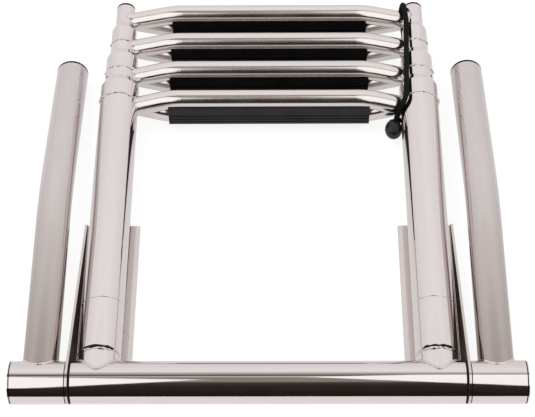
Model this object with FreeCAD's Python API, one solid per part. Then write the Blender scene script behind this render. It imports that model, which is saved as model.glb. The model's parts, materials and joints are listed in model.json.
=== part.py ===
"""Telescoping swim platform ladder with two grab handles, folded flat over the platform.

Frame: X runs across the ladder, Y runs from the hinge towards the folded tip, Z is up. The
origin lies on the underside of the two base brackets, at the centre of their bolt pattern.
Everything turns about the hinge line, a pin axis along X above the platform's edge: the
ladder swings up, over and down past the edge, and each handle swings up beside it. Three
stages slide out of each other along the columns. Places along the columns are given as
distances from the hinge line, and heights as heights over it, both as folded.
"""
import FreeCAD, Part
import math
import os

from FreeCAD import Vector

os.makedirs("parts", exist_ok=True)

# Base brackets, one to each side, bent from sheet
hinge_height = 29.0             # hinge line over the platform
sheet = 2.5                     # sheet thickness
sheet_bend = 1.5                # inner radius where the wall is bent up from the base
base_start = 28.0               # near edge of the base, from the hinge line
base_length = 158.0
base_width = 53.2
base_corner = 2.0               # round corners of the base
wall_far_height = 5.0           # height of the upright wall at its far end
bolt_hole = 8.5
bolt_edge_along = 18.0          # bolt centre to the base's near and far edges
bolt_inner_margin = 18.0        # inner bolt row to the base's inner edge
bolt_row_gap = 22.0             # inner to outer bolt row

# Columns: four stages of tube, each sliding in the one before
column_spacing = 300.0          # left to right column centres
stage_diameter = [38.1, 31.75, 25.4, 19.05]
stage_wall = [1.5, 1.5, 1.2, 1.2]
foot_start = 27.1               # lower end of the foot collar
foot_end = 78.0                 # foot collar meets the first tube
stub_end = 26.1                 # end of the stub on the cross tube
stub_step = 0.5                 # stub radius under the tube's
gasket_inset = 0.8              # gasket radius under the tube's
rung_1_distance = 313.3
nested_pitch = 37.8             # rung to rung when the stages are pushed together
tube_past_rung = 2.5            # end of each tube past its rung's centre
insertion = 286.0               # length of each sliding tube inside the one before
bushing_length = 27.0
flare_length = 18.0             # swaged inner end that the bushing stops
collar_cone = 6.5
collar_lip = 0.8                # collar's height over the sliding tube at the cone's top
seam = 0.3                      # joint between a tube's end and its collar
tip_past_rung = 15.5            # the last tube's end past its rung's centre
tip_cap = 3.0

# Rungs: two bars that meet at the columns, with a tread on the side that faces up in use
rung_tube = 19.05
rung_half_depth = 10.7          # bar centre to the rung's middle, in height
rung_straight = 196.0           # between the bends of each bar
rung_bend = 70.0
neck_length = 3.0               # single neck between the bars and the column
neck_weld = 0.15                # neck radius over the bars'
tread_length = 200.0
tread_cover = 1.8               # tread over the bars
tread_top = 9.2                 # upper edge of the tread over the rung's middle
tread_wrap = 115.0              # degrees that the tread runs round the lower bar
tread_back = 3.0                # back of the tread's web, from the rung's middle
tread_edge = 0.6                # rounding of its upper edge
groove_start = 2.2              # first groove below the rung's middle
groove_width = 1.4
groove_depth = 0.9
groove_pitch = 4.5
groove_count = 6

# Cross tube on the hinge line
cross_diameter = 38.1
cross_wall = 2.0
cross_past_column = 22.6        # each end past the column's centre
flange = 1.8                    # bushing flange between the cross tube and the bracket
flange_inset = 0.55             # flange radius under the tube's
bushing_depth = 34.0
pin_diameter = 12.0

# Handles
sleeve_length = 47.4
sleeve_wall = 3.0
sleeve_flange = 0.5             # flange of the bushing against the bracket
sleeve_end_flange = 1.0         # flange of the bushing under the cap
sleeve_bushing_depth = 18.0
sleeve_cap_rim = 0.8
sleeve_cap_rise = 1.4
handle_diameter = 31.75
handle_wall = 1.6
handle_bend_distance = 191.0
handle_bend_rise = 15.0
handle_bend_radius = 300.0
handle_reach = 369.5            # hinge line to the capped end
handle_cap = 3.5

# Ball bungee round the right ends of the rungs
bungee_diameter = 5.5
bungee_gap = 1.0                # over what it passes
bungee_near_x = 135.8           # where it passes over column 1
bungee_over_x = 141.0           # over the last collar
bungee_over_before = 12.7       # the collar's top before the middle of rung 4
bungee_far_x = 137.3            # where it goes round rung 4
bungee_front_x = 127.5          # where it turns in front of rung 1
bungee_near_rise = 19.5         # its height beside each of these
bungee_over_rise = 15.2
bungee_front_rise = 5.0
bungee_bend = 9.0               # its bends at rung 1
bungee_over_bend = 60.0
bungee_far_bend = 12.0
ball_diameter = 17.0
ball_length = 20.0              # along the line from the ball to the rung
ball_x = 123.9
ball_before_rung = 22.8         # ball centre before the middle of rung 1
ball_drop = 9.6

# Fits
running = 0.3                   # between pieces that slide or turn
pin_running = 0.05
seat = 0.02                     # between fixed round pieces
stop_gap = 1.0                  # left at full reach between flare and bushing
cap_rounding = 0.45             # rounding of a black cap's rim, as a share of its thickness

# Worked out from the above
hinge_y = -(base_start + base_length / 2)
column_x = column_spacing / 2
stages = len(stage_diameter)
radius = [diameter / 2 for diameter in stage_diameter]
bore = [outer - wall for outer, wall in zip(radius, stage_wall)]
rung_radius = rung_tube / 2
rung_distance = [rung_1_distance + number * nested_pitch for number in range(stages)]
tube_end = [distance + tube_past_rung for distance in rung_distance[:-1]]
tube_end.append(rung_distance[-1] + tip_past_rung)
slide_travel = insertion - bushing_length - flare_length - stop_gap
cross_radius = cross_diameter / 2
cross_length = column_spacing + 2 * cross_past_column
wall_inner_x = cross_length / 2 + flange + running
wall_outer_x = wall_inner_x + sheet
sleeve_x = wall_outer_x + running + sleeve_flange
handle_x = sleeve_x + sleeve_length / 2
handle_radius = handle_diameter / 2
ALONG = Vector(0, 1, 0)
ACROSS = Vector(1, 0, 0)
UP = Vector(0, 0, 1)
SIDES = {"left": -1, "right": 1}


def place(x, distance, height):
    """Point at a distance from the hinge line and a height over it."""
    return Vector(x, hinge_y + distance, hinge_height + height)


def write(name, shape):
    """Write one node, after checking that its solids are sound."""
    if not shape.isValid() or not shape.Solids:
        raise ValueError(name + " is not a sound solid")
    shape.exportStep("parts/" + name + ".step")


def together(shapes):
    """Solids that don't touch, kept in one node."""
    return shapes[0] if len(shapes) == 1 else Part.makeCompound(shapes)


def rod(start, direction, length, outer, inner=0.0):
    """Round bar, or tube where an inner radius is given."""
    shape = Part.makeCylinder(outer, length, start, direction)
    if inner:
        shape = shape.cut(Part.makeCylinder(inner, length, start, direction))
    return shape


def turned(x, profile):
    """Solid of revolution about a column's axis, from points of distance and radius."""
    points = [place(x, distance, out) for distance, out in profile]
    face = Part.Face(Part.makePolygon(points + points[:1]))
    return face.revolve(place(x, 0, 0), ALONG, 360)


def swept(path, outer):
    """Round bar along a path of tangent lines and arcs."""
    wire = Part.Wire(path)
    start = wire.OrderedEdges[0]
    tangent = start.tangentAt(start.FirstParameter)
    point = start.valueAt(start.FirstParameter)
    circle = Part.Wire(Part.Circle(point, tangent, outer).toShape())
    return wire.makePipeShell([circle], True, False)


def bent_path(spots, bends):
    """Straight runs between spots, joined by a tangent arc at each inner spot."""
    path = []
    start = spots[0]
    for before, corner, after, bend in zip(spots, spots[1:], spots[2:], bends):
        arriving = (corner - before).normalize()
        leaving = (after - corner).normalize()
        half_turn = arriving.getAngle(leaving) / 2
        leg = bend * math.tan(half_turn)
        inward = (leaving - arriving).normalize()
        middle = corner + inward * (bend / math.cos(half_turn) - bend)
        into = corner - arriving * leg
        out = corner + leaving * leg
        path.append(Part.LineSegment(start, into).toShape())
        path.append(Part.Arc(into, middle, out).toShape())
        start = out
    path.append(Part.LineSegment(start, spots[-1]).toShape())
    return path


def tangent_point(centre, round_radius, point, turn):
    """Where a line from a point touches a circle, in a plane; turn picks the side."""
    gap_y = point[0] - centre[0]
    gap_z = point[1] - centre[1]
    reach = math.hypot(gap_y, gap_z)
    angle = math.atan2(gap_z, gap_y) + turn * math.acos(round_radius / reach)
    return (centre[0] + round_radius * math.cos(angle), centre[1] + round_radius * math.sin(angle))


def bent_sheet(side):
    """Sheet with its edge bent up into a wall: the profile of a bracket, along its base."""
    bend = sheet + sheet_bend
    corner_x = wall_outer_x - bend
    inner_x = wall_outer_x - base_width
    foot = -hinge_height
    corner = foot + bend
    slant = math.sqrt(0.5)

    def spot(x, height):
        return place(side * x, base_start, height)

    edges = [
        Part.LineSegment(spot(inner_x, foot), spot(corner_x, foot)).toShape(),
        Part.Arc(spot(corner_x, foot), spot(corner_x + bend * slant, corner - bend * slant),
                 spot(wall_outer_x, corner)).toShape(),
        Part.LineSegment(spot(wall_outer_x, corner), spot(wall_outer_x, hinge_height)).toShape(),
        Part.LineSegment(spot(wall_outer_x, hinge_height), spot(wall_inner_x, hinge_height)).toShape(),
        Part.LineSegment(spot(wall_inner_x, hinge_height), spot(wall_inner_x, corner)).toShape(),
        Part.Arc(spot(wall_inner_x, corner),
                 spot(corner_x + sheet_bend * slant, corner - sheet_bend * slant),
                 spot(corner_x, foot + sheet)).toShape(),
        Part.LineSegment(spot(corner_x, foot + sheet), spot(inner_x, foot + sheet)).toShape(),
        Part.LineSegment(spot(inner_x, foot + sheet), spot(inner_x, foot)).toShape(),
    ]
    shape = Part.Face(Part.Wire(edges)).extrude(ALONG * base_length)
    corners = [edge for edge in shape.Edges
               if abs(edge.tangentAt(edge.FirstParameter).z) > 0.99
               and abs(edge.CenterOfMass.x - side * inner_x) < sheet]
    return shape.makeFillet(base_corner, corners)


def bracket(side):
    """Base plate bolted to the platform, with an upright wall that ends in a round nose."""
    far = base_start + base_length
    foot = -hinge_height
    low_start = (base_start, foot)
    high_end = (far, foot + wall_far_height)
    under = tangent_point((0, 0), cross_radius, low_start, -1)
    over = tangent_point((0, 0), cross_radius, high_end, 1)
    front = (-cross_radius, 0)
    x = side * wall_outer_x
    wall_edges = [
        Part.LineSegment(place(x, *low_start), place(x, far, foot)).toShape(),
        Part.LineSegment(place(x, far, foot), place(x, *high_end)).toShape(),
        Part.LineSegment(place(x, *high_end), place(x, *over)).toShape(),
        Part.Arc(place(x, *over), place(x, *front), place(x, *under)).toShape(),
        Part.LineSegment(place(x, *under), place(x, *low_start)).toShape(),
    ]
    outline = Part.Face(Part.Wire(wall_edges))
    base = outline.extrude(ACROSS * (-side * base_width)).common(bent_sheet(side))
    before_base = Part.makeBox(base_width * 2, cross_diameter * 2, cross_diameter * 2,
                               place(x - base_width, base_start - cross_diameter * 2,
                                     -cross_diameter))
    nose = outline.extrude(ACROSS * (-side * sheet)).common(before_base)
    shape = base.fuse(nose).removeSplitter()
    inner_x = wall_outer_x - base_width
    for row in (0, 1):
        hole_x = side * (inner_x + bolt_inner_margin + row * bolt_row_gap)
        for distance in (base_start + bolt_edge_along, far - bolt_edge_along):
            shape = shape.cut(rod(place(hole_x, distance, foot), UP, sheet, bolt_hole / 2))
    pin_hole = rod(place(x, 0, 0), ACROSS * -side, sheet, pin_diameter / 2 + seat)
    return shape.cut(pin_hole)


def hinge_pin(side):
    """Pin through the bracket's nose, into the cross tube and the handle's sleeve."""
    inner_end = cross_length / 2 - bushing_depth
    length = sleeve_x + sleeve_length - inner_end
    return rod(place(side * inner_end, 0, 0), ACROSS * side, length, pin_diameter / 2)


def cross_tube():
    """Tube along the hinge line."""
    return rod(place(-cross_length / 2, 0, 0), ACROSS, cross_length, cross_radius,
               cross_radius - cross_wall)


def stub(side):
    """Short tube for a column, coped onto the cross tube."""
    shape = rod(place(side * column_x, 0, 0), ALONG, stub_end, radius[0] - stub_step,
                bore[0] - cross_wall)
    return shape.cut(rod(place(side * column_x - radius[0], 0, 0), ACROSS, stage_diameter[0],
                         cross_radius + seat))


def flanged_bushing(end_x, inward, depth, plug_radius, rim):
    """Nylon bushing pressed into a tube's end, with a flange over the end and the pin's hole."""
    body = rod(place(end_x, 0, 0), ACROSS * inward, depth, plug_radius)
    cover = rod(place(end_x, 0, 0), ACROSS * -inward, rim, cross_radius - flange_inset)
    hole = rod(place(end_x - inward * rim, 0, 0), ACROSS * inward, depth + rim,
               pin_diameter / 2 + pin_running)
    return body.fuse(cover).cut(hole).removeSplitter()


def cross_bushing(side):
    """Bushing in the end of the cross tube, with its flange against the bracket."""
    return flanged_bushing(side * cross_length / 2, -side, bushing_depth,
                           cross_radius - cross_wall - seat, flange)


def handle_sleeve(side):
    return rod(place(side * sleeve_x, 0, 0), ACROSS * side, sleeve_length, cross_radius,
               cross_radius - sleeve_wall)


def sleeve_bushings(side):
    """A bushing in each end of the handle's sleeve: one against the bracket, one at the cap."""
    plug_radius = cross_radius - sleeve_wall - seat
    near_end = side * sleeve_x
    far_end = side * (sleeve_x + sleeve_length)
    return together([
        flanged_bushing(near_end, side, sleeve_bushing_depth, plug_radius, sleeve_flange),
        flanged_bushing(far_end, -side, sleeve_bushing_depth, plug_radius, sleeve_end_flange),
    ])


def sleeve_cap(side):
    """Shallow dome that closes the sleeve's outer end, on the outer bushing's flange."""
    start = sleeve_x + sleeve_length + sleeve_end_flange
    rim = start + sleeve_cap_rim
    crown = rim + sleeve_cap_rise
    ball = (cross_radius ** 2 + sleeve_cap_rise ** 2) / (2 * sleeve_cap_rise)
    half_out = cross_radius / 2
    half_x = crown - ball + math.sqrt(ball ** 2 - half_out ** 2)
    outline = [
        Part.LineSegment(place(side * start, 0, 0), place(side * start, 0, cross_radius)).toShape(),
        Part.LineSegment(place(side * start, 0, cross_radius),
                         place(side * rim, 0, cross_radius)).toShape(),
        Part.Arc(place(side * rim, 0, cross_radius), place(side * half_x, 0, half_out),
                 place(side * crown, 0, 0)).toShape(),
        Part.LineSegment(place(side * crown, 0, 0), place(side * start, 0, 0)).toShape(),
    ]
    return Part.Face(Part.Wire(outline)).revolve(place(0, 0, 0), ACROSS, 360)


def handle_slope():
    """Fall of the handle's outer run, so that its capped end just rests on the platform."""
    slope = 0.0
    run = handle_reach - handle_bend_distance
    for _ in range(8):
        fall = handle_bend_rise + hinge_height - handle_radius * math.cos(slope)
        slope = math.atan2(fall, run)
    return slope


def handle_path(side):
    """Centre line of a handle: a rise from the hinge line, a gentle bend and a fall."""
    x = side * handle_x
    past_bend = handle_reach - handle_bend_distance
    tip_rise = handle_bend_rise - past_bend * math.tan(handle_slope())
    spots = [
        place(x, 0, 0),
        place(x, handle_bend_distance, handle_bend_rise),
        place(x, handle_reach, tip_rise),
    ]
    return bent_path(spots, [handle_bend_radius])


def handle_tube(side):
    """Bent tube, coped onto the sleeve."""
    path = handle_path(side)
    tube = swept(path, handle_radius).cut(swept(path, handle_radius - handle_wall))
    cope = rod(place(side * (sleeve_x - sleeve_length), 0, 0), ACROSS * side, sleeve_length * 3,
               cross_radius)
    tube = tube.cut(cope)
    last = path[-1]
    tip = last.valueAt(last.LastParameter)
    away = last.tangentAt(last.LastParameter)
    return tube.cut(rod(tip - away * handle_cap, away, handle_cap * 2, handle_diameter))


def handle_tip_cap(side):
    """Plastic cap on the handle's end, with a plug inside the tube."""
    last = handle_path(side)[-1]
    tip = last.valueAt(last.LastParameter)
    away = last.tangentAt(last.LastParameter)
    plug_length = handle_radius
    disc = rod(tip - away * handle_cap, away, handle_cap, handle_radius)
    rims = [edge for edge in disc.Edges
            if edge.Closed and (edge.CenterOfMass - tip).Length < handle_cap / 2]
    disc = disc.makeFillet(handle_cap * cap_rounding, rims)
    plug = rod(tip - away * (handle_cap + plug_length), away, plug_length,
               handle_radius - handle_wall - seat)
    return disc.fuse(plug).removeSplitter()


def foot_gasket(side):
    return rod(place(side * column_x, stub_end, 0), ALONG, foot_start - stub_end,
               radius[0] - gasket_inset, bore[0] - cross_wall)


def foot_collar(side):
    return rod(place(side * column_x, foot_start, 0), ALONG, foot_end - foot_start, radius[0],
               bore[0])


def column(stage, side):
    """Tube of one stage. The sliding ones have a swaged inner end."""
    x = side * column_x
    if stage == 0:
        return rod(place(x, foot_end, 0), ALONG, tube_end[0] - foot_end, radius[0], bore[0])
    start = tube_end[stage - 1] - insertion
    flare = bore[stage - 1] - running
    inner_taper = flare - radius[stage]
    return turned(x, [
        (start, bore[stage]),
        (start, flare),
        (start + flare_length - inner_taper, flare),
        (start + flare_length, radius[stage]),
        (tube_end[stage], radius[stage]),
        (tube_end[stage], bore[stage]),
    ])


def slide_bushing(stage, side):
    """Nylon ring in the end of a tube, in which the next tube slides."""
    return rod(place(side * column_x, tube_end[stage] - bushing_length, 0), ALONG,
               bushing_length, bore[stage] - seat, radius[stage + 1] + running)


def neck_radius(stage):
    return min(rung_radius + neck_weld, radius[stage] - seat)


def collar(stage, side):
    """Coned collar on the end of the tube before, through which this stage slides."""
    start = tube_end[stage - 1] + seam
    end = rung_distance[stage] - neck_radius(stage) - running
    hole = radius[stage] + running
    return turned(side * column_x, [
        (start, hole),
        (start, radius[stage - 1]),
        (end - collar_cone, radius[stage - 1]),
        (end, radius[stage] + collar_lip),
        (end, hole),
    ])


def bar(stage, outer):
    """Upper bar of a rung: straight in the middle, bent down to the columns' middle."""
    half = rung_straight / 2
    end = column_x - radius[stage]
    points = [(-end, 0), (-half, rung_half_depth), (half, rung_half_depth), (end, 0)]
    spots = [place(x, rung_distance[stage], height) for x, height in points]
    return swept(bent_path(spots, [rung_bend, rung_bend]), outer)


def rung(stage):
    """Two bars that run level in the middle and meet in a neck welded to each column."""
    distance = rung_distance[stage]
    shape = bar(stage, rung_radius)
    for side in SIDES.values():
        neck_start = column_x - radius[stage] - neck_length
        neck = rod(place(side * neck_start, distance, 0), ACROSS * side,
                   column_x - neck_start, neck_radius(stage))
        shape = shape.fuse(neck)
    low = Part.makeBox(column_spacing, nested_pitch, nested_pitch,
                       place(-column_x, distance - nested_pitch / 2, -nested_pitch))
    shape = shape.cut(low)
    for side in SIDES.values():
        foot = place(side * column_x, distance - nested_pitch, 0)
        shape = shape.cut(rod(foot, ALONG, nested_pitch * 2, radius[stage] + seat))
    shape = max(shape.Solids, key=lambda solid: solid.Volume)
    return shape.fuse(shape.mirror(place(0, distance, 0), UP)).removeSplitter()


def tread(stage):
    """Ribbed plastic tread, clipped over the lower bar and lying on the upper one."""
    distance = rung_distance[stage]
    start = place(-tread_length / 2, distance, 0)
    outer = rung_radius + tread_cover
    face_distance = distance - outer
    low = -rung_half_depth
    web = Part.makeBox(tread_length, outer - tread_back, tread_top - low,
                       place(start.x, face_distance, low))
    upper_front = [edge for edge in web.Edges
                   if edge.CenterOfMass.z > hinge_height and abs(edge.CenterOfMass.x) < seat
                   and edge.CenterOfMass.y < hinge_y + distance - rung_radius]
    web = web.makeFillet(tread_edge, upper_front)
    wrap = Part.makeCylinder(outer, tread_length, Vector(), UP, tread_wrap)
    from_front_down = FreeCAD.Rotation(-ALONG, -UP, ACROSS)
    wrap.Placement = FreeCAD.Placement(place(start.x, distance, low), from_front_down)
    shape = web.fuse(wrap)
    upper_bar = bar(stage, rung_radius + seat)
    lower_bar = upper_bar.mirror(place(0, distance, 0), UP)
    shape = shape.cut(upper_bar).cut(lower_bar)
    for number in range(groove_count):
        along = groove_start + number * groove_pitch
        groove = Part.makeBox(tread_length, groove_depth * 2, groove_width,
                              place(start.x, face_distance - groove_depth, -groove_width / 2))
        straight = -low
        if along <= straight:
            groove.translate(UP * -along)
        else:
            groove.translate(UP * low)
            turn = math.degrees((along - straight) / outer)
            groove.rotate(place(start.x, distance, low), ACROSS, turn)
        shape = shape.cut(groove)
    return max(shape.Solids, key=lambda solid: solid.Volume)


def tip(side):
    """Black cap on the end of the last tube, with a plug inside it."""
    last = stages - 1
    x = side * column_x
    disc = rod(place(x, tube_end[last], 0), ALONG, tip_cap, radius[last])
    rims = [edge for edge in disc.Edges
            if edge.Closed and edge.CenterOfMass.y > hinge_y + tube_end[last] + tip_cap / 2]
    disc = disc.makeFillet(tip_cap * cap_rounding, rims)
    plug_length = radius[last]
    plug = rod(place(x, tube_end[last] - plug_length, 0), ALONG, plug_length,
               bore[last] - seat)
    return disc.fuse(plug).removeSplitter()


def bungee_points():
    """Corners of the bungee's loop, from the ball over rung 1 and back under it."""
    off = bungee_diameter / 2 + bungee_gap
    last = stages - 1
    slope = rung_half_depth / (column_x - radius[last] - rung_straight / 2)
    bar_height = (column_x - radius[last] - bungee_far_x) * slope
    far = bar_height + rung_radius * math.hypot(1, slope) + off
    behind = rung_distance[last] + neck_radius(last) + off
    beside = rung_1_distance - rung_radius / 2
    over = rung_distance[last] - bungee_over_before
    return [
        ball_centre(),
        place(bungee_front_x, rung_1_distance - rung_radius - off, bungee_front_rise),
        place(bungee_near_x, beside, bungee_near_rise),
        place(bungee_over_x, over, bungee_over_rise),
        place(bungee_far_x, behind, far),
        place(bungee_far_x, behind, -far),
        place(bungee_over_x, over, -bungee_over_rise),
        place(bungee_near_x, beside, -bungee_near_rise),
        ball_centre(),
    ]


def bungee():
    """Elastic loop that holds the rungs together, with both ends in the ball."""
    bends = [bungee_bend, bungee_bend, bungee_over_bend, bungee_far_bend, bungee_far_bend,
             bungee_over_bend, bungee_bend]
    return swept(bent_path(bungee_points(), bends), bungee_diameter / 2).cut(bungee_ball())


def ball_centre():
    return place(ball_x, rung_1_distance - ball_before_rung, -ball_drop)


def bungee_ball():
    """Ball a little longer than it is wide, with its long axis towards rung 1."""
    centre = ball_centre()
    axis = (place(ball_x, rung_1_distance, 0) - centre).normalize()
    tip_spot = centre + axis * (ball_length / 2)
    side_spot = centre + ACROSS * (ball_diameter / 2)
    outline = Part.Ellipse(tip_spot, side_spot, centre).toShape(0, math.pi)
    chord = Part.LineSegment(centre - axis * (ball_length / 2), tip_spot).toShape()
    return Part.Face(Part.Wire([outline, chord])).revolve(centre, axis, 360)


def main():
    for name, side in SIDES.items():
        write("bracket_" + name, bracket(side))
        write("handle_sleeve_" + name, handle_sleeve(side))
        write("sleeve_bushing_" + name, sleeve_bushings(side))
        write("sleeve_cap_" + name, sleeve_cap(side))
        write("handle_tube_" + name, handle_tube(side))
        write("handle_tip_cap_" + name, handle_tip_cap(side))
        write("stub_" + name, stub(side))
        write("foot_collar_" + name, foot_collar(side))
        for stage in range(stages):
            write("column_%d_%s" % (stage + 1, name), column(stage, side))
    write("cross_tube", cross_tube())
    write("hinge_pins", together([hinge_pin(side) for side in SIDES.values()]))
    write("cross_bushings", together([cross_bushing(side) for side in SIDES.values()]))
    write("foot_gaskets", together([foot_gasket(side) for side in SIDES.values()]))
    write("bungee_cord", bungee())
    write("bungee_ball", bungee_ball())
    write("tip_caps", together([tip(side) for side in SIDES.values()]))
    for stage in range(stages):
        number = str(stage + 1)
        if stage > 0:
            pair = [collar(stage, side) for side in SIDES.values()]
            write("collars_" + number, together(pair))
        if stage < stages - 1:
            pair = [slide_bushing(stage, side) for side in SIDES.values()]
            write("slide_bushings_" + number, together(pair))
        write("rung_" + number, rung(stage))
        write("tread_" + number, tread(stage))


main()
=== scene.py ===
# %% [markdown]
# A telescoping swim platform ladder, folded flat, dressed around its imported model.
#
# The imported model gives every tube, bracket and tread at its real size, so nothing here moves
# or resizes them. This file gives them their finishes, adds the small things that a tube
# bender and a welder would leave on them, and sets up a plain studio. The frame is loaded
# first, because every place below is measured from it.

# %% Load the frame
import json
import math
import bmesh
import bpy
from mathutils import Matrix, Vector, noise as lumpy


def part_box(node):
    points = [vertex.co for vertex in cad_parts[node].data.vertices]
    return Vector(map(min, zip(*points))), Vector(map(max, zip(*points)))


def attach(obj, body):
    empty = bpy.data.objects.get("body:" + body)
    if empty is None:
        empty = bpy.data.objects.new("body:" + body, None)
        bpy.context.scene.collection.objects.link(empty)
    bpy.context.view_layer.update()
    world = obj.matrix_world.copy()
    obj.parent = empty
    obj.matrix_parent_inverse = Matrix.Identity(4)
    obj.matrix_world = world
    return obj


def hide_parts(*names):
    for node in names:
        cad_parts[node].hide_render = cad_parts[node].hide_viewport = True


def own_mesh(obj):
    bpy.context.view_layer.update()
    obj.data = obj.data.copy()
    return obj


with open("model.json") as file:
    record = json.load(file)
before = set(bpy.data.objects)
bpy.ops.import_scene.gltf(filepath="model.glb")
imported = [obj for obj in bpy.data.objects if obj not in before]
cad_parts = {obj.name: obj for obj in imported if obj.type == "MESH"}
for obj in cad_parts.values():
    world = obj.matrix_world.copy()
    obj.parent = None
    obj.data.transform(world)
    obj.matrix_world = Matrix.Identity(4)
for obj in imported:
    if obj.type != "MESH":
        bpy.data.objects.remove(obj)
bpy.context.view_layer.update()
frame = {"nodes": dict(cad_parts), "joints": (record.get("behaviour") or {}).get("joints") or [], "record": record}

nodes = frame["nodes"]

# %% [markdown]
# The hinge line is the axis that the whole ladder swings about. It could be typed in as two
# numbers. It is read from the frame's joint instead, so that the welds, the bungee and the
# studio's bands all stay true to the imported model.

# %% Hinge line
swing = next(joint for joint in frame["joints"] if joint["name"] == "ladder_swing")
hinge_y, hinge_z = swing["pos_m"][1:]
print("hinge line at", round(hinge_y, 4), round(hinge_z, 4))

# %% [markdown]
# The camera. The ladder was photographed from its hinge end, from above, with a long lens, so
# its columns hardly draw together. The place and the angle could be tried out by eye. They
# were worked out instead, from where the edges of the tubes lie in the picture: the telescope's
# tubes have known sizes, which gives the distance and the tilt away.

# %% Camera
PICTURE_WIDTH = 535
SENSOR_WIDTH = 36
FOCAL_PIXELS = 1526
CAMERA_PLACE = (0.0117, -0.7584, 1.2133)
TILT = 35.32
LOOK_LEFT = 0.87
ROLL = -0.84
camera_data = bpy.data.cameras.new("camera")
camera_data.sensor_width = SENSOR_WIDTH
camera_data.lens = camera_data.sensor_width * FOCAL_PIXELS / PICTURE_WIDTH
camera = bpy.data.objects.new("camera", camera_data)
bpy.context.collection.objects.link(camera)
camera.location = CAMERA_PLACE
aim = Matrix.Rotation(math.radians(LOOK_LEFT), 3, "Z")
aim = aim @ Matrix.Rotation(math.radians(TILT), 3, "X")
aim = aim @ Matrix.Rotation(math.radians(ROLL), 3, "Z")
camera.rotation_euler = aim.to_euler()
bpy.context.scene.camera = camera
bpy.context.scene.view_settings.view_transform = "Standard"
print("lens", round(camera_data.lens, 1), "mm")

# %% [markdown]
# Helpers for materials. A node tree could be wired line by line in every material. A few short
# functions keep each material below to what is special about it. The first ones make a tree,
# put nodes in it and join them.

# %% Trees and nodes
def new_material(name):
    """A material with an empty tree, and the tree."""
    material = bpy.data.materials.new(name)
    material.use_nodes = True
    tree = material.node_tree
    tree.nodes.clear()
    return material, tree


def node(tree, kind, **settings):
    """A new node, with its plain settings."""
    made = tree.nodes.new(kind)
    for key, value in settings.items():
        setattr(made, key, value)
    return made


def feed(tree, target, socket, source):
    """Give a socket a number, a colour, or another node's output."""
    if isinstance(source, bpy.types.NodeSocket):
        tree.links.new(source, target.inputs[socket])
    else:
        target.inputs[socket].default_value = source


print("a new material starts with no nodes")

# %% [markdown]
# Every tree ends in an output node, and the floor and the cards shine by themselves, so both
# get a helper. A lamp's light could do what the shining cards do, but it would light the whole
# ladder too, and these are only to be seen.

# %% Outputs and shining surfaces
def show(tree, surface, kind="ShaderNodeOutputMaterial"):
    """Make a shader the surface that the tree gives."""
    feed(tree, node(tree, kind), "Surface", surface)


def glowing(tree, colour, strength=1.0):
    """A surface that shines by itself."""
    made = node(tree, "ShaderNodeEmission")
    feed(tree, made, "Color", colour)
    feed(tree, made, "Strength", strength)
    return made.outputs[0]


def grey(level):
    """A colour with no hue."""
    return (level, level, level, 1.0)


print("white is", grey(1.0))

# %% [markdown]
# The next ones do sums with places. A pattern could follow a layout of each surface, but these
# pieces have none, so places are a piece's object coordinates, which are the frame's own
# metres here.

# %% Sums and places
def math_node(tree, operation, first, second=0.0):
    """One sum of two numbers or outputs."""
    made = node(tree, "ShaderNodeMath", operation=operation)
    feed(tree, made, 0, first)
    feed(tree, made, 1, second)
    return made.outputs[0]


def object_place(tree):
    """Where a point of the surface is, in the frame's metres."""
    return node(tree, "ShaderNodeTexCoord").outputs["Object"]


def split(tree, vector):
    """The X, Y and Z of a vector."""
    made = node(tree, "ShaderNodeSeparateXYZ")
    feed(tree, made, 0, vector)
    return made.outputs


print("places are in metres")

# %% [markdown]
# Noise is what stands for everything uneven: hair lines, smudges, waves, grain. Its scale is
# in blotches to the metre, so 100 gives about one a centimetre. Image textures could give the
# same detail, but they need files, and noise needs none. It mostly stays in the middle of its
# range, so a map range node spreads that middle between two values.

# %% Noise
NOISE_LOW = 0.35
NOISE_HIGH = 0.65


def noise(tree, coordinates, scale, detail, stretch=None):
    """Noise on object coordinates, stretched where one direction is to run long."""
    if stretch:
        mapping = node(tree, "ShaderNodeMapping")
        feed(tree, mapping, "Vector", coordinates)
        mapping.inputs["Scale"].default_value = stretch
        coordinates = mapping.outputs[0]
    made = node(tree, "ShaderNodeTexNoise")
    feed(tree, made, "Vector", coordinates)
    feed(tree, made, "Scale", scale)
    feed(tree, made, "Detail", detail)
    return made.outputs["Fac"]


def spread(tree, value, low, high, from_low=NOISE_LOW, from_high=NOISE_HIGH):
    """Map a range, by default a noise's middle, to a low and a high value."""
    made = node(tree, "ShaderNodeMapRange")
    feed(tree, made, "Value", value)
    feed(tree, made, "From Min", from_low)
    feed(tree, made, "From Max", from_high)
    feed(tree, made, "To Min", low)
    feed(tree, made, "To Max", high)
    return made.outputs[0]


print("a noise's middle range is", NOISE_LOW, "to", NOISE_HIGH)

# %% [markdown]
# The last ones give relief and mix colours. A bump only turns the surface's normal, which is
# enough for hair lines and grain. Anything that shows at an edge is made in the mesh instead,
# further down.

# %% Relief and mixed colours
def bump(tree, height, distance, below=None):
    """Relief from a height, on top of another relief."""
    made = node(tree, "ShaderNodeBump")
    feed(tree, made, "Height", height)
    feed(tree, made, "Distance", distance)
    feed(tree, made, "Strength", 1.0)
    if below is not None:
        feed(tree, made, "Normal", below)
    return made.outputs[0]


def colour_ramp(tree, value, stops):
    """Colour ramp from pairs of place and colour."""
    made = node(tree, "ShaderNodeValToRGB")
    feed(tree, made, "Fac", value)
    ramp = made.color_ramp
    while len(ramp.elements) < len(stops):
        ramp.elements.new(1.0)
    for element, (place_on_ramp, colour) in zip(ramp.elements, stops):
        element.position = place_on_ramp
        element.color = tuple(colour) + (1.0,)
    return made.outputs["Color"]


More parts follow.
